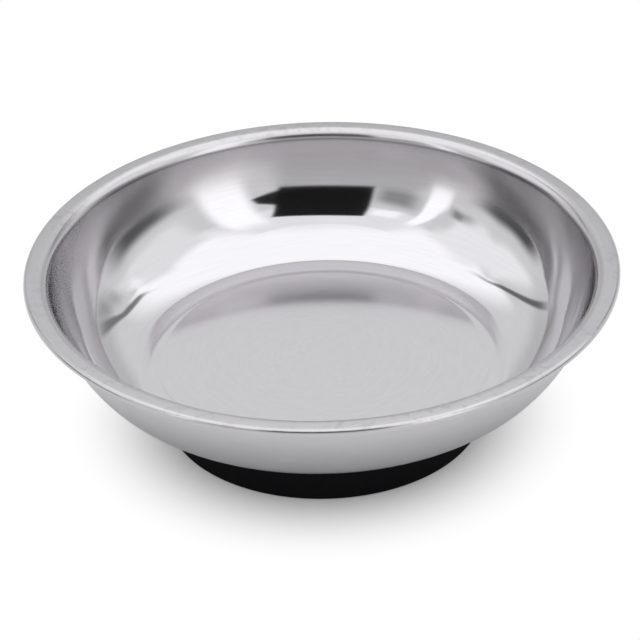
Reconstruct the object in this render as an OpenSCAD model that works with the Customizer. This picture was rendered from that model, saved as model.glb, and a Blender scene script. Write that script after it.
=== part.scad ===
// Round magnetic parts tray: a pressed stainless dish bolted by a welded stud to a cased ring magnet,
// with a rubber boot over the case. Millimetres, +Z up, origin at the middle of the boot's underside.
// Every round piece is one profile turned about Z. Bent sheet keeps its thickness, because the two
// faces of each bend share one centre. The wall is three arcs that touch: a foot, a bend and a bow.

/* [Dish] */
// Diameter over the turned-down edge of the lip
rim_d = 150; // [120:1:200]
// Depth from the top of the lip to the floor
dish_depth = 27.2; // [22:0.1:34]
// Thickness of the sheet
sheet_t = 0.7; // [0.5:0.1:1.2]
// Slope of the wall where it meets the lip, in degrees from the horizontal
wall_top_slope = 81; // [74:0.5:84]
// Inside radius of the bowed upper wall
wall_bow_r = 37; // [32:1:60]
// Inside radius of the bend below the bow
wall_bend_r = 20.2; // [16:0.2:26]
// Slope at which the wall leaves the floor, in degrees
foot_slope = 9; // [6:1:18]
// Inside radius of the bend at the wall's foot
foot_bend_r = 3; // [1:0.5:6]
// Distance from the wall's foot in to the crest of the bead that rings the floor
bead_inset = 6; // [4:0.1:9]
// Slope of the bead's flanks, in degrees
bead_slope = 5; // [3:0.5:10]
// Inside radius of the bead's bends
bead_bend_r = 8; // [5:0.5:12]

/* [Lip] */
// Width of the lip from the middle of its inner bend to the edge
lip_w = 3.5; // [2:0.1:6]
// Inside radius of the bend from the wall to the lip
lip_bend_r = 2.2; // [1:0.1:3]
// Fall of the lip towards its edge, in degrees
lip_fall = 3; // [0:0.5:8]
// Inside radius of the turned-down edge
edge_bend_r = 0.35; // [0.2:0.05:0.8]
// Straight height below the turned-down edge
hem_h = 0.2; // [0.1:0.1:1]

/* [Magnet and case] */
// Outside diameter of the ring magnet
magnet_d = 72; // [60:1:76]
// Bore of the ring magnet
magnet_bore_d = 32; // [28:1:40]
// Height of the ring magnet
magnet_h = 12; // [11:0.5:16]
// Chamfer on the magnet's edges
magnet_chamfer = 0.6; // [0.3:0.1:1]
// Glued gap round the magnet, which is also the inside radius of the case's bend
magnet_gap = 1; // [0.8:0.1:1.5]
// Thickness of the steel case
case_t = 1.5; // [1:0.1:2.5]

/* [Rubber boot] */
// Thickness of the boot's wall
boot_wall_t = 2; // [1.5:0.1:3]
// Thickness of the boot's floor
boot_floor_t = 2.3; // [2:0.1:4]
// Radius of the boot's lower outside edge
boot_edge_r = 1.2; // [0.5:0.1:1.4]
// Radius of the boot's upper outside edge
boot_rim_r = 0.6; // [0.3:0.1:1]
// How far the boot's rim reaches in over the shoulder of the case
boot_grip = 1; // [0.5:0.1:1.2]
// Diameter of the access hole under the nut
boot_hole_d = 24; // [18:1:28]
// Chamfer round the access hole
boot_hole_chamfer = 0.6; // [0.3:0.1:1]
// Gap between the boot and the outside of the case
boot_gap = 0.1; // [0.05:0.05:0.3]

/* [Fasteners] */
// Diameter of the welded stud
stud_d = 6; // [5:1:8]
// How far the stud's flange stands out round its shank
stud_flange_w = 1.5; // [1:0.25:2]
// How far the flange stops above the washer
stud_flange_recess = 0.5; // [0.3:0.1:0.8]
// Length of the stud below the nut
stud_tail = 1.3; // [0.5:0.1:2]
// Gap between the stud's flange and the hole in the case
case_hole_gap = 0.5; // [0.3:0.1:1]
// Outside diameter of the flat washer
washer_d = 18; // [16:0.5:24]
// Thickness of the flat washer
washer_t = 1.6; // [1:0.1:2]
// Width of the spring washer's wire
spring_w = 2.5; // [2:0.1:3]
// Thickness of the spring washer's wire
spring_t = 1.6; // [1:0.1:2]
// Width of the slit in the spring washer
spring_slit = 0.8; // [0.4:0.1:1.2]
// Slope of the slit, in degrees from the vertical
spring_slit_slope = 25; // [15:1:35]
// Distance across the flats of the nut
nut_flats = 10; // [9:0.5:13]
// Height of the nut
nut_h = 5; // [4:0.1:6.5]
// Slope of the nut's corner chamfer, in degrees
nut_chamfer_slope = 30; // [20:1:35]
// Chamfer on the stud's end and the nut's bore
thread_chamfer = 0.8; // [0.4:0.1:1]
// Radial gap of the stud in the two washers
washer_gap = 0.2; // [0.1:0.05:0.4]
// Radial gap of the stud in the nut
thread_gap = 0.05; // [0.02:0.01:0.1]

/* [Hidden] */
// Degrees of each straight step along a bend, and sides of a full turn
bend_step = 5;
$fn = 128;
// Overrun of a cut past the face that it cuts
cut = 1;

// Heights of the stack, from the table up
magnet_bottom = boot_floor_t;
magnet_top = magnet_bottom + magnet_h;
base_h = magnet_top + case_t;
floor_z = base_h + sheet_t;
rim_z = floor_z + dish_depth;

// Radii of the magnet's case and boot, from the magnet out
case_inner_r = magnet_d / 2 + magnet_gap;
case_r = case_inner_r + case_t;
case_shoulder_r = magnet_gap + case_t;
boot_inner_r = case_r + boot_gap;
boot_r = boot_inner_r + boot_wall_t;
boot_shoulder_r = case_shoulder_r + boot_gap;
boot_hole_r = boot_hole_d / 2;

// Fasteners, stacked down from the case
stud_r = stud_d / 2;
stud_flange_r = stud_r + stud_flange_w;
stud_flange_h = case_t - stud_flange_recess;
case_hole_r = stud_flange_r + case_hole_gap;
washer_bore_r = stud_r + washer_gap;
washer_bottom = magnet_top - washer_t;
spring_bottom = washer_bottom - spring_t;
nut_bottom = spring_bottom - nut_h;
stud_bottom = nut_bottom - stud_tail;
nut_corner_r = nut_flats / 2 / cos(30);
nut_bore_r = stud_r + thread_gap;

// Radii of the dish's inside face where it turns over a bend
bead_outer_r = bead_bend_r + sheet_t;
lip_outer_r = lip_bend_r + sheet_t;
edge_outer_r = edge_bend_r + sheet_t;

// Bend centres of the dish, found inwards from the edge: each bend touches its neighbours.
// bow_slope is the slope at which the bend turns into the bow.
lip_c = [rim_d / 2 - lip_w, rim_z - lip_outer_r];
edge_c_x = rim_d / 2 - edge_outer_r;
edge_c_drop = (edge_c_x - lip_c.x) * sin(lip_fall);
edge_c = [edge_c_x, lip_c.y + (lip_outer_r - edge_outer_r - edge_c_drop) / cos(lip_fall)];
bow_c = lip_c + (lip_outer_r + wall_bow_r) * inward(wall_top_slope);
foot_rise = (wall_bend_r - foot_bend_r) * cos(foot_slope);
wall_c_z = floor_z + foot_bend_r + foot_rise;
bow_slope = acos((bow_c.y - wall_c_z) / (wall_bow_r - wall_bend_r));
wall_c = bow_c - (wall_bow_r - wall_bend_r) * inward(bow_slope);
foot_c = wall_c - (wall_bend_r - foot_bend_r) * inward(foot_slope);
bead_bends = bead_bend_r + bead_outer_r;
bead_h = bead_bends * (1 - cos(bead_slope));
bead_c = [foot_c.x - bead_inset, floor_z + bead_h - bead_outer_r];
bead_reach = [bead_bends * sin(bead_slope), 0];
bead_foot_c = [bead_c.x, floor_z + bead_bend_r];

// Direction into the dish, square to a wall of a given slope
function inward(slope) = [-sin(slope), cos(slope)];

// Points of an arc about a centre, from one angle to another
function arc(centre, r, from, to) =
  let (steps = ceil(abs(to - from) / bend_step))
    [for (i = [0 : steps]) let (a = from + (to - from) * i / steps) centre + r * [cos(a), sin(a)]];

// The same points in the opposite order
function reversed(points) = [for (i = [len(points) - 1 : -1 : 0]) points[i]];

// One face of the dish from the axis to the hem: depth is 0 on the inside face and sheet_t on the outside
function dish_face(depth) = concat(
  [[0, floor_z - depth]],
  arc(bead_foot_c - bead_reach, bead_bend_r + depth, -90, bead_slope - 90),
  arc(bead_c, bead_outer_r - depth, 90 + bead_slope, 90 - bead_slope),
  arc(bead_foot_c + bead_reach, bead_bend_r + depth, -90 - bead_slope, -90),
  arc(foot_c, foot_bend_r + depth, -90, foot_slope - 90),
  arc(wall_c, wall_bend_r + depth, foot_slope - 90, bow_slope - 90),
  arc(bow_c, wall_bow_r + depth, bow_slope - 90, wall_top_slope - 90),
  arc(lip_c, lip_outer_r - depth, 90 + wall_top_slope, 90 - lip_fall),
  arc(edge_c, edge_outer_r - depth, 90 - lip_fall, 0),
  [[rim_d / 2 - depth, edge_c.y - hem_h]]);

// One face of the case from its hole to the end of its wall
function case_face(depth) = concat(
  [[case_hole_r, base_h - depth]],
  arc([case_r, base_h] - [1, 1] * case_shoulder_r, case_shoulder_r - depth, 90, 0),
  [[case_r - depth, magnet_bottom]]);

// Section of a ring with its four edges chamfered
function chamfered_ring(inner_r, outer_r, bottom, top, chamfer) = [
  [inner_r + chamfer, bottom], [outer_r - chamfer, bottom], [outer_r, bottom + chamfer],
  [outer_r, top - chamfer], [outer_r - chamfer, top], [inner_r + chamfer, top],
  [inner_r, top - chamfer], [inner_r, bottom + chamfer]];

module turned(points) {
  rotate_extrude() polygon(points);
}

module tube(outer_r, inner_r, bottom, height) {
  translate([0, 0, bottom])
    difference() {
      cylinder(h = height, r = outer_r);
      translate([0, 0, -cut]) cylinder(h = height + 2 * cut, r = inner_r);
    }
}

module bowl() {
  color("silver") turned(concat(dish_face(0), reversed(dish_face(sheet_t))));
}

module weld_stud() {
  flange_bottom = base_h - stud_flange_h;
  color("lightsteelblue")
    turned([[0, base_h], [stud_flange_r, base_h], [stud_flange_r, flange_bottom],
            [stud_r, flange_bottom], [stud_r, stud_bottom + thread_chamfer],
            [stud_r - thread_chamfer, stud_bottom], [0, stud_bottom]]);
}

module magnet_case() {
  color("gainsboro") turned(concat(case_face(0), reversed(case_face(case_t))));
}

module ring_magnet() {
  color("dimgray")
    turned(chamfered_ring(magnet_bore_d / 2, magnet_d / 2, magnet_bottom, magnet_top, magnet_chamfer));
}

module flat_washer() {
  color("lightgray") tube(washer_d / 2, washer_bore_r, washer_bottom, washer_t);
}

// A flattened spring washer: a ring slit through on a slope
module spring_washer() {
  slit_h = 2 * (spring_t + spring_w);
  color("lightgray")
    difference() {
      tube(washer_bore_r + spring_w, washer_bore_r, spring_bottom, spring_t);
      translate([0, 0, spring_bottom + spring_t / 2])
        rotate([spring_slit_slope, 0, 0])
          translate([0, -spring_slit / 2, -slit_h / 2])
            cube([washer_bore_r + spring_w + cut, spring_slit, slit_h]);
    }
}

// A hexagon with its corners turned off at both ends and its bore countersunk
module hex_nut() {
  corner_drop = (nut_corner_r - nut_flats / 2) * tan(nut_chamfer_slope);
  nut_top = nut_bottom + nut_h;
  sink_r = nut_bore_r + thread_chamfer;
  color("lightgray")
    difference() {
      intersection() {
        translate([0, 0, nut_bottom]) cylinder(h = nut_h, r = nut_corner_r, $fn = 6);
        turned([[0, nut_bottom], [nut_flats / 2, nut_bottom], [nut_corner_r, nut_bottom + corner_drop],
                [nut_corner_r, nut_top - corner_drop], [nut_flats / 2, nut_top], [0, nut_top]]);
      }
      turned([[0, nut_bottom - cut], [sink_r, nut_bottom - cut], [sink_r, nut_bottom],
              [nut_bore_r, nut_bottom + thread_chamfer], [nut_bore_r, nut_top - thread_chamfer],
              [sink_r, nut_top], [sink_r, nut_top + cut], [0, nut_top + cut]]);
    }
}

// The boot's cavity follows the outside of the case, and its rim grips over the case's shoulder
module rubber_boot() {
  grip_angle = acos((boot_shoulder_r - boot_gap - boot_grip) / boot_shoulder_r);
  shoulder_c = [boot_inner_r, base_h] - [1, 1] * boot_shoulder_r + [0, boot_gap];
  rim_inner_r = shoulder_c.x + boot_shoulder_r * cos(grip_angle);
  color([0.08, 0.08, 0.085])
    turned(concat(
      [[boot_hole_r + boot_hole_chamfer, 0]],
      arc([boot_r - boot_edge_r, boot_edge_r], boot_edge_r, -90, 0),
      arc([boot_r, base_h] - [1, 1] * boot_rim_r, boot_rim_r, 0, 90),
      [[rim_inner_r, base_h]],
      arc(shoulder_c, boot_shoulder_r, grip_angle, 0),
      [[boot_inner_r, magnet_bottom], [boot_hole_r, magnet_bottom], [boot_hole_r, boot_hole_chamfer]]));
}

bowl();
weld_stud();
magnet_case();
ring_magnet();
flat_washer();
spring_washer();
hex_nut();
rubber_boot();
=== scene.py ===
import math

import bmesh
import bpy
from mathutils import Matrix, Vector, noise


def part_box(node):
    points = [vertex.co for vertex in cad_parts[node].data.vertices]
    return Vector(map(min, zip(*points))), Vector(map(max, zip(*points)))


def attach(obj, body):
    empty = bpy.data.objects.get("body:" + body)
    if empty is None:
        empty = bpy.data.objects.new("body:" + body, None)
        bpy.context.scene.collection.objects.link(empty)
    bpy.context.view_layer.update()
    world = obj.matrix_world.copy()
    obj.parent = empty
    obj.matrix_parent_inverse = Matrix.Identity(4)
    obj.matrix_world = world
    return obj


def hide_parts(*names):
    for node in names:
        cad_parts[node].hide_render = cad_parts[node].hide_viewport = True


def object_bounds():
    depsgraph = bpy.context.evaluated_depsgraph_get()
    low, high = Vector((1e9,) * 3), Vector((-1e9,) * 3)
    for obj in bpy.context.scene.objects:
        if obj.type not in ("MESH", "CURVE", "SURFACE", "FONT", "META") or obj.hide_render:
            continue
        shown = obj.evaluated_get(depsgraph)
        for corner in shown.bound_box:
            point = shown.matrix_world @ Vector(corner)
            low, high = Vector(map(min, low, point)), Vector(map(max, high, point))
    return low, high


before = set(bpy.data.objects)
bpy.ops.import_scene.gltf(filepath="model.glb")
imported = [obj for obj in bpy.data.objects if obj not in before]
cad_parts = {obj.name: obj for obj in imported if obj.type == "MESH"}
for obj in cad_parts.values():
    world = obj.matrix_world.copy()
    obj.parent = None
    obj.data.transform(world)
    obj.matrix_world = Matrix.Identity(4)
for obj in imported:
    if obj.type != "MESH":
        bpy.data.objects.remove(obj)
cadLow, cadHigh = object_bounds()
mm = 0.001
samePoint = 0.0001  # mm; points closer than this are one point
print("frame loaded:", ", ".join(sorted(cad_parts)))


# Profiles in the half plane of radius and height

def arc(centre, radius, start, end, step):
    count = max(2, math.ceil(abs(end - start) / step))
    angles = [math.radians(start + (end - start) * i / count) for i in range(count + 1)]
    return [(centre[0] + radius * math.cos(a), centre[1] + radius * math.sin(a)) for a in angles]


def spaced(points, longest):
    # splits the long straight runs, so that grain and reflections stay even along them
    result = [points[0]]
    for start, end in zip(points, points[1:]):
        run = math.dist(start, end)
        if run <= samePoint:  # two bends that meet share their ends
            continue
        count = max(1, math.ceil(run / longest))
        for i in range(1, count + 1):
            result.append(tuple(a + (b - a) * i / count for a, b in zip(start, end)))
    return result


def addObject(name, data):
    made = bpy.data.objects.new(name, data)
    bpy.context.scene.collection.objects.link(made)
    return made


def turnProfile(name, profile, segments, closed=True, sharpAngle=35.0):
    # a profile turned about Z; a point on the axis becomes one vertex
    work = bmesh.new()
    rings = []
    for r, z in profile:
        count = segments if r > samePoint * mm else 1
        turns = [math.tau * i / segments for i in range(count)]
        rings.append([work.verts.new((r * math.cos(t), r * math.sin(t), z)) for t in turns])
    following = rings[1:] + (rings[:1] if closed else [])
    for lower, upper in zip(rings, following):
        for i in range(segments):
            j = (i + 1) % segments
            spots = ((lower, i), (lower, j), (upper, j), (upper, i))
            corners = list(dict.fromkeys(ring[k % len(ring)] for ring, k in spots))
            if len(corners) > 2:
                work.faces.new(corners)
    bmesh.ops.recalc_face_normals(work, faces=work.faces)
    data = bpy.data.meshes.new(name)
    work.to_mesh(data)
    work.free()
    data.polygons.foreach_set("use_smooth", [True] * len(data.polygons))
    data.set_sharp_from_angle(angle=math.radians(sharpAngle))
    return addObject(name, data)


# Shader helpers

def addNode(tree, kind, **settings):
    made = tree.nodes.new(kind)
    for key, value in settings.items():
        setattr(made, key, value)
    return made


def math2(tree, operation, first, second=None, clamp=False):
    # a Math node; an input is either a number or a socket
    made = addNode(tree, "ShaderNodeMath", operation=operation, use_clamp=clamp)
    for place, value in enumerate((first, second)):
        if value is None:
            continue
        if isinstance(value, (int, float)):
            made.inputs[place].default_value = value
        else:
            tree.links.new(value, made.inputs[place])
    return made.outputs[0]


def mapRange(tree, value, fromLow, fromHigh, toLow, toHigh):
    made = addNode(tree, "ShaderNodeMapRange")
    tree.links.new(value, made.inputs["Value"])
    limits = {"From Min": fromLow, "From Max": fromHigh, "To Min": toLow, "To Max": toHigh}
    for key, number in limits.items():
        made.inputs[key].default_value = number
    return made.outputs["Result"]


def mixColour(tree, share, first, second):
    # the Mix node numbers its colour sockets 6 and 7, and its colour output 2
    made = addNode(tree, "ShaderNodeMix", data_type="RGBA")
    for place, value in ((0, share), (6, first), (7, second)):
        if isinstance(value, bpy.types.NodeSocket):
            tree.links.new(value, made.inputs[place])
        else:
            made.inputs[place].default_value = value
    return made.outputs[2]


def newGroup(name, inputs, outputs):
    group = bpy.data.node_groups.new(name, "ShaderNodeTree")
    for label, value in inputs.items():
        socket = group.interface.new_socket(label, in_out="INPUT", socket_type="NodeSocketFloat")
        socket.default_value = value
    for label in outputs:
        group.interface.new_socket(label, in_out="OUTPUT", socket_type="NodeSocketFloat")
    given, out = addNode(group, "NodeGroupInput"), addNode(group, "NodeGroupOutput")
    return group, given.outputs, out.inputs


def placeGroup(tree, group, **values):
    made = addNode(tree, "ShaderNodeGroup", node_tree=group)
    for label, value in values.items():
        made.inputs[label].default_value = value
    return made.outputs


def newMaterial(name):
    material = bpy.data.materials.new(name)
    material.use_nodes = True
    shader = material.node_tree.nodes["Principled BSDF"]
    return material, material.node_tree, shader


def mixSurface(tree, share, first, second):
    mix = addNode(tree, "ShaderNodeMixShader")
    for place, socket in enumerate((share, first, second)):
        tree.links.new(socket, mix.inputs[place])
    tree.links.new(mix.outputs[0], tree.nodes["Material Output"].inputs["Surface"])


# Shared finishes

def turnedGrainGroup():
    # fine lines round the axis: noise stretched along the turn, closed at the seam
    group, given, out = newGroup("turnedGrain", {"Lines per mm": 2.5, "Length": 5.0}, ["Height"])
    place = addNode(group, "ShaderNodeTexCoord").outputs["Object"]
    parts = addNode(group, "ShaderNodeSeparateXYZ")
    group.links.new(place, parts.inputs[0])
    x, y, z = parts.outputs
    squares = [math2(group, "MULTIPLY", side, side) for side in (x, y)]
    radius = math2(group, "SQRT", math2(group, "ADD", *squares))
    nearAxis = 0.01 * mm  # keeps the division below finite on the axis
    safe = math2(group, "MAXIMUM", radius, nearAxis)
    runMm = math2(group, "MULTIPLY", math2(group, "ADD", radius, z), 1 / mm)
    across = math2(group, "MULTIPLY", runMm, given["Lines per mm"])
    vector = addNode(group, "ShaderNodeCombineXYZ")
    for place, side in enumerate((x, y)):
        turn = math2(group, "MULTIPLY", math2(group, "DIVIDE", side, safe), given["Length"])
        group.links.new(turn, vector.inputs[place])
    group.links.new(across, vector.inputs[2])
    lines = addNode(group, "ShaderNodeTexNoise")
    lines.inputs["Scale"].default_value = 1.0
    lines.inputs["Detail"].default_value = 3.0
    group.links.new(vector.outputs[0], lines.inputs["Vector"])
    group.links.new(lines.outputs["Fac"], out["Height"])
    return group


def cloudGroup():
    # soft uneven patches, for handling marks and uneven polish
    group, given, out = newGroup("softClouds", {"Size mm": 20.0, "Contrast": 1.0}, ["Mask"])
    place = addNode(group, "ShaderNodeTexCoord").outputs["Object"]
    cloud = addNode(group, "ShaderNodeTexNoise")
    cloud.inputs["Detail"].default_value = 4.0
    group.links.new(place, cloud.inputs["Vector"])
    group.links.new(math2(group, "DIVIDE", 1 / mm, given["Size mm"]), cloud.inputs["Scale"])
    middle = 0.5
    swing = math2(group, "SUBTRACT", cloud.outputs["Fac"], middle)
    stretched = math2(group, "MULTIPLY", swing, given["Contrast"])
    group.links.new(math2(group, "ADD", stretched, middle, clamp=True), out["Mask"])
    return group


turnedGrain = turnedGrainGroup()
softClouds = cloudGroup()


def addClouds(tree, size, contrast):
    return placeGroup(tree, softClouds, **{"Size mm": size, "Contrast": contrast})["Mask"]


def addGrain(tree, lines, length):
    return placeGroup(tree, turnedGrain, **{"Lines per mm": lines, "Length": length})["Height"]


def bumpNormal(tree, shader, height, distance):
    # distance in mm
    bump = addNode(tree, "ShaderNodeBump")
    bump.inputs["Strength"].default_value = 1.0
    bump.inputs["Distance"].default_value = distance * mm
    tree.links.new(height, bump.inputs["Height"])
    tree.links.new(bump.outputs["Normal"], shader.inputs["Normal"])


# The pressed dish: lengths in mm, turns, slopes and mesh steps in degrees
# Clouds and marks are given as size and contrast, grain as lines per mm and length

dish = {
    "sheet": 0.7, "topSlope": 81.0, "bow": 37.0, "bend": 22.0, "sink": 0.3,
    "footSlope": 10.0, "foot": 4.0, "toeSlope": 5.0, "toe": 24.0,
    "beadInset": 2.1, "beadSlope": 5.0, "beadBend": 10.8,
    "lipWidth": 3.5, "lipBend": 2.2, "lipFall": 3.0, "edgeBend": 0.35, "hem": 0.2,
    "segments": 320, "longestRun": 1.5, "outsideRun": 3.0, "hemRun": 0.2,
    "floorStep": 1.0, "footStep": 2.0, "wallStep": 1.5, "bowStep": 0.75, "topStep": 0.25,
    "topSpan": 1.5, "lipStep": 4.0, "edgeStep": 9.0, "outsideCoarser": 2.0,
    "floorRough": 0.11, "ringRough": 0.16, "ringWidth": 1.6, "wallRough": 0.06, "upperRough": 0.2,
    "bendRough": 0.2, "lipRough": 0.2, "outsideRough": 0.24, "brushed": 0.75, "brushTurn": 0.25,
    # the crease entries place and colour a thin band of painted shade in the bend from the wall into the
    # lip
    "polishTop": 27.5, "satinFrom": 35.0, "polishPastFoot": 3.0, "creaseShadeRise": 0.75, "creaseShadeWidth": 0.35,
    "bendRise": (0.5, 1.0), "lipRise": (1.9, 2.5), "outsideLipRise": (-1.0, 0.0),
    "tint": (0.588, 0.58, 0.6, 1.0), "satinTint": (0.533, 0.518, 0.532, 1.0),
    "lipTint": (0.5, 0.493, 0.508, 1.0), "creaseShadeTint": (0.27, 0.266, 0.27, 1.0),
    "clouds": (26.0, 1.6), "unevenRough": (0.85, 1.15),
    "grain": (1.2, 6.0), "grainHeight": 0.0005, "grainDark": (0.2, 0.7), "grainShade": 0.05,
    "marks": (2.4, 3.0), "markFrom": (0.55, 0.9), "markShare": 0.26, "markTint": (0.2, 0.197, 0.2, 1.0),
    "markPatch": (0.35, 0.75), "leastMarks": 0.15,
}

# Bends of the outside that differ from those of the inside
underside = {
    "bend": 20.2, "sink": 0.0, "footSlope": 9.0, "foot": 3.0, "toeSlope": 9.0, "toe": 3.0,
    "beadInset": 6.0, "beadSlope": 5.0, "beadBend": 8.0,
}

# Slow unevenness of the pressed sheet: its waves per metre, and where it fades out
wobble = {
    "depth": 0.012, "aroundWaves": 35.0, "upWaves": 25.0, "fineWaves": 2.3, "fineShare": 0.5,
    "seatFade": (49.0, 56.0), "rimFade": 6.0,
}

# Shallow dents in the lower wall; a negative depth bulges inwards
dents = [
    {"turn": 44.0, "radius": 59.5, "spread": 3.2, "depth": 0.14},
    {"turn": 37.0, "radius": 57.0, "spread": 2.4, "depth": -0.07},
    {"turn": 55.0, "radius": 62.5, "spread": 2.6, "depth": 0.06},
    {"turn": 147.0, "radius": 57.0, "spread": 4.2, "depth": 0.12},
    {"turn": 158.0, "radius": 58.0, "spread": 3.0, "depth": -0.06},
]


def inward(slope):
    return Vector((-math.sin(math.radians(slope)), math.cos(math.radians(slope))))


def outerBends(shape):
    # radii on the outer side of the bead, the lip and the edge
    return [shape[key] + shape["sheet"] for key in ("beadBend", "lipBend", "edgeBend")]


def bendCentres(shape):
    # bend centres from the rim inwards; each bend touches its neighbours
    low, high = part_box("bowl")
    rimR, rimZ = high.x / mm, high.z / mm
    floorZ = low.z / mm + shape["sheet"] - shape["sink"]
    beadOut, lipOut, edgeOut = outerBends(shape)
    fall, bead = math.radians(shape["lipFall"]), math.radians(shape["beadSlope"])
    lip = Vector((rimR - shape["lipWidth"], rimZ - lipOut))
    edgeX = rimR - edgeOut
    edgeRise = (lipOut - edgeOut - (edgeX - lip.x) * math.sin(fall)) / math.cos(fall)
    edge = Vector((edgeX, lip.y + edgeRise))
    bow = lip + (lipOut + shape["bow"]) * inward(shape["topSlope"])
    toeSpan, footSpan = shape["toe"] - shape["foot"], shape["bend"] - shape["foot"]
    toeLow, footLow = (math.cos(math.radians(shape[key])) for key in ("toeSlope", "footSlope"))
    wallZ = floorZ + shape["toe"] - toeSpan * toeLow + footSpan * footLow
    bowSlope = math.degrees(math.acos((bow.y - wallZ) / (shape["bow"] - shape["bend"])))
    wall = bow - (shape["bow"] - shape["bend"]) * inward(bowSlope)
    foot = wall - footSpan * inward(shape["footSlope"])
    toe = foot + toeSpan * inward(shape["toeSlope"])
    bends = shape["beadBend"] + beadOut
    crest = Vector((toe.x - shape["beadInset"], floorZ + bends * (1 - math.cos(bead)) - beadOut))
    reach = bends * math.sin(bead)
    beadFeet = [Vector((crest.x + side * reach, floorZ + shape["beadBend"])) for side in (-1, 1)]
    return {
        "beadFeet": beadFeet, "crest": crest, "toe": toe, "foot": foot, "wall": wall, "bow": bow,
        "lip": lip, "edge": edge, "bowSlope": bowSlope, "rimR": rimR, "floorZ": floorZ,
    }


def dishFace(shape, at, depth):
    # one face of the sheet from the axis to the hem; depth 0 is the inside
    beadOut, lipOut, edgeOut = outerBends(shape)
    top, foot, toe = shape["topSlope"], shape["footSlope"], shape["toeSlope"]
    bead, fall, bowSlope = shape["beadSlope"], shape["lipFall"], at["bowSlope"]
    bowTop = top - shape["topSpan"]  # finer steps from here up, where the wall meets the lip
    bends = [
        (at["beadFeet"][0], shape["beadBend"] + depth, -90, bead - 90, "floorStep"),
        (at["crest"], beadOut - depth, 90 + bead, 90 - bead, "floorStep"),
        (at["beadFeet"][1], shape["beadBend"] + depth, -90 - bead, -90, "floorStep"),
        (at["toe"], shape["toe"] + depth, -90, toe - 90, "floorStep"),
        (at["foot"], shape["foot"] + depth, toe - 90, foot - 90, "footStep"),
        (at["wall"], shape["bend"] + depth, foot - 90, bowSlope - 90, "wallStep"),
        (at["bow"], shape["bow"] + depth, bowSlope - 90, bowTop - 90, "bowStep"),
        (at["bow"], shape["bow"] + depth, bowTop - 90, top - 90, "topStep"),
        (at["lip"], lipOut - depth, 90 + top, 90 - fall, "lipStep"),
        (at["edge"], edgeOut - depth, 90 - fall, 0, "edgeStep"),
    ]
    inside = depth == 0.0
    coarser = 1.0 if inside else shape["outsideCoarser"]
    points = [(0.0, at["floorZ"] - depth)]
    for centre, radius, start, end, step in bends:
        points += arc(centre, radius, start, end, shape[step] * coarser)
    points += [(at["rimR"] - depth, at["edge"].y - shape["hem"])]
    return spaced(points, shape["longestRun" if inside else "outsideRun"])


def smoothStep(low, high, value):
    share = min(1.0, max(0.0, (value - low) / (high - low)))
    return share * share * (3 - 2 * share)


def dishFinish(shape, at, r, z, inside):
    # roughness of a point on the sheet, then its shares of the lip, the satin wall and the painted shade
    # band in the bend from the wall into the lip
    wallTop = at["lip"].y

    def risen(key):
        low, high = shape[key]
        return smoothStep(wallTop + low, wallTop + high, z)

    if not inside:
        return shape["outsideRough"], risen("outsideLipRise"), 0.0, 0.0
    crestR, footR = at["crest"].x, at["foot"].x
    lip = risen("lipRise")
    satin = smoothStep(shape["polishTop"], shape["satinFrom"], z)
    ring = math.exp(-((r - (crestR + footR) / 2) / shape["ringWidth"]) ** 2)
    # painted shade: a thin dark band just above the wall's top, standing in for the shaded near wall
    # mirrored in the bend
    shadeBand = math.exp(-((z - wallTop - shape["creaseShadeRise"]) / shape["creaseShadeWidth"]) ** 2)
    zones = {
        "wallRough": smoothStep(crestR, footR + shape["polishPastFoot"], r), "ringRough": ring,
        "upperRough": satin, "bendRough": risen("bendRise"), "lipRough": lip,
    }
    rough = shape["floorRough"]
    for key, share in zones.items():
        rough += (shape[key] - rough) * share
    return rough, lip, satin, shadeBand


def dentDepth(place):
    total = 0.0
    for dent in dents:
        turn, radius = math.radians(dent["turn"]), dent["radius"] * mm
        away = math.dist(place.xy, (radius * math.cos(turn), radius * math.sin(turn)))
        total += dent["depth"] * math.exp(-(away / (dent["spread"] * mm)) ** 2)
    return total


def wobbleSheet(piece, at):
    # the same on both faces, fading out at the rim and over the seat
    rim = at["lip"].y * mm
    rimFrom = rim - wobble["rimFade"] * mm
    seatFrom, seatTo = (radius * mm for radius in wobble["seatFade"])
    around, up = wobble["aroundWaves"], wobble["upWaves"]
    for vertex in piece.data.vertices:
        place = vertex.co
        reach = math.hypot(place.x, place.y)
        share = smoothStep(seatFrom, seatTo, reach) * (1 - smoothStep(rimFrom, rim, place.z))
        if share > 0.0:
            spot = Vector((place.x * around, place.y * around, (reach + place.z) * up))
            waves = noise.noise(spot) + wobble["fineShare"] * noise.noise(spot * wobble["fineWaves"])
            push = waves * wobble["depth"] + dentDepth(place)
            vertex.co = place + Vector((place.x / reach, place.y / reach, -1.0)) * push * share * mm


# the last layer is the share of the painted shade band below the lip
finishLayers = ("finishRough", "lipShare", "satinShare", "creaseShadeShare")


def makeDish():
    at = bendCentres(dish)
    inner = dishFace(dish, at, 0.0)
    outerShape = dish | underside
    outer = dishFace(outerShape, bendCentres(outerShape), dish["sheet"])
    hem = spaced([inner[-1], outer[-1]], dish["hemRun"])[1:-1]
    profile = inner + hem + outer[::-1]
    spots = [(r * mm, z * mm) for r, z in profile]
    piece = turnProfile("dish", spots, dish["segments"], closed=False)
    finish = []
    for place, (r, z) in enumerate(profile):
        count = dish["segments"] if r > samePoint else 1
        finish += [dishFinish(dish, at, r, z, place < len(inner))] * count
    for column, label in enumerate(finishLayers):
        layer = piece.data.attributes.new(label, "FLOAT", "POINT")
        layer.data.foreach_set("value", [row[column] for row in finish])
    wobbleSheet(piece, at)
    piece.data.materials.append(dishSteel())
    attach(piece, "root")
    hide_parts("bowl")
    return piece


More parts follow.
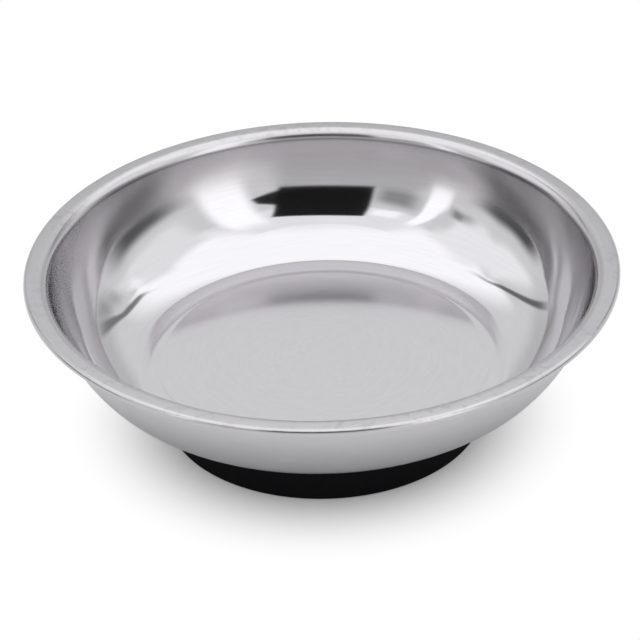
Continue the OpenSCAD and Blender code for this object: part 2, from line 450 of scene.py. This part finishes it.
def dishSteel():
    material, tree, shader = newMaterial("dishSteel")
    finish, lipShare, satinShare, creaseShadeShare = (
        addNode(tree, "ShaderNodeAttribute", attribute_name=label).outputs["Fac"]
        for label in finishLayers)
    clouds = addClouds(tree, *dish["clouds"])
    uneven = mapRange(tree, clouds, 0.0, 1.0, *dish["unevenRough"])
    tree.links.new(math2(tree, "MULTIPLY", finish, uneven), shader.inputs["Roughness"])
    wall = mixColour(tree, satinShare, dish["tint"], dish["satinTint"])
    # painted shade: darkens a thin band where the wall turns into the lip
    withShadeBand = mixColour(tree, creaseShadeShare, wall, dish["creaseShadeTint"])
    zone = mixColour(tree, lipShare, withShadeBand, dish["lipTint"])
    # small dark handling marks, in patches, on the lip only
    marks = mapRange(tree, addClouds(tree, *dish["marks"]), *dish["markFrom"], 0.0, dish["markShare"])
    patches = mapRange(tree, clouds, *dish["markPatch"], dish["leastMarks"], 1.0)
    marked = math2(tree, "MULTIPLY", math2(tree, "MULTIPLY", marks, patches), lipShare)
    zone = mixColour(tree, marked, zone, dish["markTint"])
    grain = addGrain(tree, *dish["grain"])
    shade = mapRange(tree, grain, *dish["grainDark"], dish["grainShade"], 0.0)
    black = (0.0, 0.0, 0.0, 1.0)
    tree.links.new(mixColour(tree, shade, zone, black), shader.inputs["Base Color"])
    bumpNormal(tree, shader, grain, dish["grainHeight"])
    shader.inputs["Metallic"].default_value = 1.0
    # the satin is brushed round the axis, so it blurs most up and down the wall
    around = addNode(tree, "ShaderNodeTangent", direction_type="RADIAL", axis="Z").outputs[0]
    tree.links.new(around, shader.inputs["Tangent"])
    brushed = math2(tree, "MULTIPLY", satinShare, dish["brushed"])
    tree.links.new(brushed, shader.inputs["Anisotropic"])
    shader.inputs["Anisotropic Rotation"].default_value = dish["brushTurn"]
    return material


dishPiece = makeDish()
print("dish turned:", len(dishPiece.data.polygons), "faces")


# The rubber boot: lengths in mm, mesh steps in degrees, dust and pebble as size and contrast

boot = {
    "edge": 1.2, "rim": 0.6, "wall": 2.0, "floor": 2.3, "gap": 0.1, "grip": 1.0,
    "holeR": 12.0, "holeChamfer": 0.6, "shoulder": 2.6,
    "segments": 256, "longestRun": 2.0, "edgeStep": 6.0, "rimStep": 9.0,
    "tint": (0.005, 0.005, 0.006, 1.0), "dusty": (0.012, 0.012, 0.013, 1.0),
    "dust": (9.0, 2.4), "dustShare": 0.25, "rough": (0.64, 0.8), "specular": 0.05,
    "pebble": (0.35, 1.0), "pebbleHeight": 0.02,
}


def makeBoot():
    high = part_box("rubber_boot")[1]
    outR, top = high.x / mm, high.z / mm
    innerR = outR - boot["wall"]
    shoulder = boot["shoulder"]
    centre = (innerR - shoulder, top - shoulder + boot["gap"])
    gripAngle = math.degrees(math.acos((shoulder - boot["gap"] - boot["grip"]) / shoulder))
    profile = [(boot["holeR"] + boot["holeChamfer"], 0.0)]
    edgeCentre = (outR - boot["edge"], boot["edge"])
    rimCentre = (outR - boot["rim"], top - boot["rim"])
    profile += arc(edgeCentre, boot["edge"], -90, 0, boot["edgeStep"])
    profile += arc(rimCentre, boot["rim"], 0, 90, boot["rimStep"])
    profile += [(centre[0] + shoulder * math.cos(math.radians(gripAngle)), top)]
    profile += arc(centre, shoulder, gripAngle, 0, boot["rimStep"])
    profile += [(innerR, boot["floor"]), (boot["holeR"], boot["floor"])]
    profile += [(boot["holeR"], boot["holeChamfer"])]
    profile = spaced(profile, boot["longestRun"])
    piece = turnProfile("boot", [(r * mm, z * mm) for r, z in profile], boot["segments"])
    piece.data.materials.append(blackRubber())
    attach(piece, "root")
    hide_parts("rubber_boot")
    return piece


def blackRubber():
    material, tree, shader = newMaterial("blackRubber")
    dust = addClouds(tree, *boot["dust"])
    share = math2(tree, "MULTIPLY", dust, boot["dustShare"])
    tree.links.new(mixColour(tree, share, boot["tint"], boot["dusty"]), shader.inputs["Base Color"])
    tree.links.new(mapRange(tree, dust, 0.0, 1.0, *boot["rough"]), shader.inputs["Roughness"])
    bumpNormal(tree, shader, addClouds(tree, *boot["pebble"]), boot["pebbleHeight"])
    shader.inputs["Specular IOR Level"].default_value = boot["specular"]
    return material


bootPiece = makeBoot()
print("boot turned:", len(bootPiece.data.polygons), "faces")


# Fasteners, case and magnet keep their CAD shapes

zinc = {
    "tint": (0.56, 0.565, 0.58, 1.0), "dull": (0.42, 0.425, 0.44, 1.0), "rough": (0.42, 0.26),
    "clouds": (3.0, 2.0), "grain": (5.0, 4.0), "grainHeight": 0.006,
}
ferrite = {
    "tint": (0.035, 0.034, 0.036, 1.0), "pale": (0.075, 0.073, 0.075, 1.0), "rough": (0.6, 0.8),
    "clouds": (7.0, 1.8), "pits": (0.6, 2.0), "pitHeight": 0.03,
}


def zincSteel():
    material, tree, shader = newMaterial("zincSteel")
    clouds = addClouds(tree, *zinc["clouds"])
    tree.links.new(mixColour(tree, clouds, zinc["dull"], zinc["tint"]), shader.inputs["Base Color"])
    tree.links.new(mapRange(tree, clouds, 0.0, 1.0, *zinc["rough"]), shader.inputs["Roughness"])
    bumpNormal(tree, shader, addGrain(tree, *zinc["grain"]), zinc["grainHeight"])
    shader.inputs["Metallic"].default_value = 1.0
    return material


def ferriteBlack():
    material, tree, shader = newMaterial("ferriteBlack")
    pits = addClouds(tree, *ferrite["pits"])
    clouds = addClouds(tree, *ferrite["clouds"])
    share = math2(tree, "MULTIPLY", clouds, pits)
    tree.links.new(mixColour(tree, share, ferrite["tint"], ferrite["pale"]), shader.inputs["Base Color"])
    tree.links.new(mapRange(tree, clouds, 0.0, 1.0, *ferrite["rough"]), shader.inputs["Roughness"])
    bumpNormal(tree, shader, pits, ferrite["pitHeight"])
    return material


def dress(nodeName, material):
    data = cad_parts[nodeName].data
    data.materials.clear()
    data.materials.append(material)


zincMaterial = zincSteel()
for label in ("weld_stud", "magnet_case", "flat_washer", "spring_washer", "hex_nut"):
    dress(label, zincMaterial)
dress("ring_magnet", ferriteBlack())
print("fasteners, case and magnet dressed")


# Floor, light and camera: lengths in metres, the top light's sides and ends as shares of its height

studio = {
    "floorR": 6.0, "floorSides": 64, "floorDrop": 0.0001, "floorColour": (0.9, 0.9, 0.9, 1.0),
    "seenWhite": (0.03, 0.068), "mirroredWhite": (0.06, 0.16), "wallLevel": 0.7,
    "lampLevel": 0.9, "topHeight": 4.6, "topSides": (-0.76, 1.05), "topEnds": (-0.68, 1.22),
    "topLevel": 1.62, "topSoft": (0.06, 0.06, 0.3, 0.27),
    "nearestCard": 4.0, "cardStep": 0.05, "cardGrid": 24, "middleShare": 0.7,
}

# The dark opening on the camera's side, which the far wall mirrors; corners as for the cards
opening = {
    "corners": [(-26, 24.3), (19, 24.3), (30, 52), (-28, 55)],
    "level": 0.015, "soft": 0.03, "distance": 3.9,
}

# Cards by direction, the nearest first: corners as azimuth and elevation in degrees, level, soft share
# Azimuth 0 is the camera's side, and grows to the right
cards = {
    "openingTip": ([(15, 25), (34, 31), (32, 35), (15, 44)], 0.03, 0.16),
    "leftStrip": ([(-61, 8), (-49, 8), (-52, 58), (-59, 58)], 1.7, 0.18),
    "stripShade": ([(-51, 20), (-22, 22), (-22, 40), (-54, 41)], 0.42, 0.38),
    "outerShade": ([(-80, 21), (-56, 21), (-58, 34), (-80, 32)], 0.4, 0.42),
    "cellLight": ([(-47, 39), (-26, 43), (-26, 53), (-47, 53)], 1.6, 0.3),
    "rightPanel": ([(31, 1), (58, 1), (59, 66), (29, 66)], 1.7, 0.25),
    "rightSill": ([(14, -12), (70, -12), (66, 14), (18, 17)], 1.35, 0.32),
    "backLeftSeam": ([(-139, 10), (-133, 10), (-132, 56), (-139, 56)], 0.2, 0.3),
    "backRightSeam": ([(137, 11), (149, 11), (140, 52), (133, 52)], 0.3, 0.35),
    "backRightShade": ([(116, 8), (146, 8), (140, 34), (122, 34)], 0.55, 0.45),
    "leftLow": ([(-120, -3), (-66, -3), (-66, 18), (-117, 18)], 0.12, 0.3),
    "rightLow": ([(52, 3), (120, 3), (118, 21), (52, 21)], 0.14, 0.4),
    "rightLowest": ([(66, -6), (116, -6), (116, 8), (66, 8)], 0.62, 0.3),
    "frontLow": ([(-74, -4), (24, -4), (23, 28), (-44, 28)], 0.73, 0.13),
    "rightRear": ([(104, 28), (130, 28), (128, 47), (108, 47)], 1.45, 0.35),
    "leftWall": ([(-132, 20), (-64, 20), (-64, 62), (-132, 62)], 1.36, 0.2),
    "rightWall": ([(62, 21), (130, 21), (126, 56), (62, 56)], 1.24, 0.2),
    "rearLow": ([(112, 0), (248, 0), (248, 32), (112, 32)], 0.76, 0.3),
    "frontHigh": ([(-66, 40), (64, 40), (64, 72), (-66, 72)], 1.28, 0.12),
}


def stageMesh(name, points, faces):
    data = bpy.data.meshes.new(name)
    data.from_pydata(points, [], faces)
    made = addObject(name, data)
    return made


def raysSeen(tree):
    # 1 where a surface is seen by the camera, and 1 where it is seen in a mirror or through glass
    rays = addNode(tree, "ShaderNodeLightPath").outputs
    mirrored = math2(tree, "MAXIMUM", rays["Is Glossy Ray"], rays["Is Transmission Ray"])
    return rays["Is Camera Ray"], mirrored


def makeFloor():
    # the floor keeps the shadow round the object and turns to plain white further out
    sides, reach = range(studio["floorSides"]), studio["floorR"]
    turns = [math.tau * i / len(sides) for i in sides]
    corners = [(reach * math.cos(t), reach * math.sin(t), -studio["floorDrop"]) for t in turns]
    floor = stageMesh("floor", corners, [tuple(sides)])
    material, tree, shader = newMaterial("paleFloor")
    shader.inputs["Base Color"].default_value = studio["floorColour"]
    shader.inputs["Roughness"].default_value = 1.0
    shader.inputs["Specular IOR Level"].default_value = 0.0
    away = addNode(tree, "ShaderNodeVectorMath", operation="LENGTH")
    tree.links.new(addNode(tree, "ShaderNodeTexCoord").outputs["Object"], away.inputs[0])
    direct, mirrored = raysSeen(tree)
    shares = []
    for rays, key in ((direct, "seenWhite"), (mirrored, "mirroredWhite")):
        share = addNode(tree, "ShaderNodeMapRange", interpolation_type="SMOOTHSTEP")
        tree.links.new(away.outputs["Value"], share.inputs["Value"])
        for end, distance in zip(("From Min", "From Max"), studio[key]):
            share.inputs[end].default_value = distance
        shares.append(math2(tree, "MULTIPLY", share.outputs["Result"], rays))
    white = addNode(tree, "ShaderNodeEmission").outputs[0]
    mixSurface(tree, math2(tree, "MAXIMUM", *shares), shader.outputs[0], white)
    floor.data.materials.append(material)


def skyPoint(azimuth, elevation, distance):
    # azimuth from the camera's side, to the right; seen from the middle of the dish
    a, e = math.radians(azimuth), math.radians(elevation)
    middle = cadHigh.z * studio["middleShare"]
    flat = distance * math.cos(e)
    return Vector((flat * math.sin(a), -flat * math.cos(a), middle + distance * math.sin(e)))


def reflectedCard(name, spotAt, level, soft):
    # a card that only shiny surfaces see; soft is the share faded at its left, right, low and high edge
    steps = studio["cardGrid"]
    row = steps + 1
    shares = [(j / steps, i / steps) for i in range(row) for j in range(row)]
    firsts = [i * row + j for i in range(steps) for j in range(steps)]
    quads = [(first, first + 1, first + row + 1, first + row) for first in firsts]
    card = stageMesh(name, [spotAt(u, v) for u, v in shares], quads)
    layer = card.data.attributes.new("cover", "FLOAT", "POINT")
    for spot, (u, v) in zip(layer.data, shares):
        inset = zip(soft, (u, 1 - u, v, 1 - v))
        spot.value = math.prod(smoothStep(0, width, near) for width, near in inset)
    material, tree, _ = newMaterial(name)
    glow = addNode(tree, "ShaderNodeEmission")
    glow.inputs["Strength"].default_value = level
    cover = addNode(tree, "ShaderNodeAttribute", attribute_name="cover").outputs["Fac"]
    clear = addNode(tree, "ShaderNodeBsdfTransparent").outputs[0]
    mixSurface(tree, cover, clear, glow.outputs[0])
    card.data.materials.append(material)
    card.visible_camera = card.visible_diffuse = card.visible_transmission = False
    card.visible_shadow = False


def between(corners, u, v):
    lowLeft, lowRight, highRight, highLeft = corners
    return lowLeft.lerp(lowRight, u).lerp(highLeft.lerp(highRight, u), v)


def directionCard(name, corners, level, soft, distance):
    # bent round the dish: its edges follow straight lines in azimuth and elevation
    directions = [Vector(corner) for corner in corners]

    def spotAt(u, v):
        return skyPoint(*between(directions, u, v), distance)

    reflectedCard(name, spotAt, level, (soft,) * 4)


def makeOpening():
    # flat, with straight edges
    corners = [skyPoint(*corner, opening["distance"]) for corner in opening["corners"]]

    def spotAt(u, v):
        return between(corners, u, v)

    reflectedCard("frontOpening", spotAt, opening["level"], (opening["soft"],) * 4)


def makeWorld():
    # white wherever it is seen or mirrored, and less as light on matt surfaces
    world = bpy.data.worlds.new("studioWalls")
    bpy.context.scene.world = world
    world.use_nodes = True
    tree = world.node_tree
    shade = tree.nodes["Background"]
    shade.inputs["Color"].default_value = (1.0, 1.0, 1.0, 1.0)
    seen = math2(tree, "MAXIMUM", *raysSeen(tree))
    tree.links.new(mapRange(tree, seen, 0.0, 1.0, studio["wallLevel"], 1.0), shade.inputs["Strength"])


def makeTopLight():
    # an overhead softbox: a lamp for the matt surfaces, and a card in the same place for the mirrors
    lamp = bpy.data.lights.new("topSoftbox", "AREA")
    lamp.shape = "RECTANGLE"
    height = studio["topHeight"]
    left, right = (share * height for share in studio["topSides"])
    front, rear = (share * height for share in studio["topEnds"])
    lamp.size, lamp.size_y = right - left, rear - front
    lamp.energy = studio["lampLevel"] * lamp.size * lamp.size_y * math.pi
    box = addObject("topSoftbox", lamp)
    box.location = ((left + right) / 2, (front + rear) / 2, height)
    box.visible_camera = box.visible_glossy = False

    def spotAt(u, v):
        return left + (right - left) * u, front + (rear - front) * v, height

    reflectedCard("topSoftboxFace", spotAt, studio["topLevel"], studio["topSoft"])


# Distances in metres from the middle of the rim, which falls on rimPixel
camera = {
    "distance": 1.0, "elevation": 31.25, "roll": -1.56, "focalPixels": 3978.0,
    "imageSide": 640, "sensor": 36.0, "rimPixel": (321.4, 265.75), "clip": (0.01, 20.0),
}


def makeCamera():
    data = bpy.data.cameras.new("photoCamera")
    view = addObject("photoCamera", data)
    data.sensor_width = camera["sensor"]
    data.lens = camera["focalPixels"] * camera["sensor"] / camera["imageSide"]
    data.clip_start, data.clip_end = camera["clip"]
    tilt, roll = math.radians(camera["elevation"]), math.radians(camera["roll"])
    back = Vector((0.0, -math.cos(tilt), math.sin(tilt)))
    level = Vector((1.0, 0.0, 0.0))
    upright = back.cross(level)
    right = level * math.cos(roll) + upright * math.sin(roll)
    up = upright * math.cos(roll) - level * math.sin(roll)
    middle = camera["imageSide"] / 2
    acrossPixels, upPixels = camera["rimPixel"][0] - middle, middle - camera["rimPixel"][1]
    axis = (back * camera["focalPixels"] + right * acrossPixels + up * upPixels).normalized()
    side = up.cross(axis).normalized()
    turn = Matrix((side, axis.cross(side), axis)).transposed()
    stand = Vector((0, 0, cadHigh.z)) + back * camera["distance"]
    view.matrix_world = Matrix.Translation(stand) @ turn.to_4x4()
    bpy.context.scene.camera = view


makeFloor()
makeWorld()
makeTopLight()
makeOpening()
for place, (label, (corners, level, soft)) in enumerate(cards.items()):
    directionCard(label, corners, level, soft, studio["nearestCard"] + place * studio["cardStep"])
makeCamera()
bpy.context.scene.view_settings.view_transform = "Standard"
print("stage and camera set")
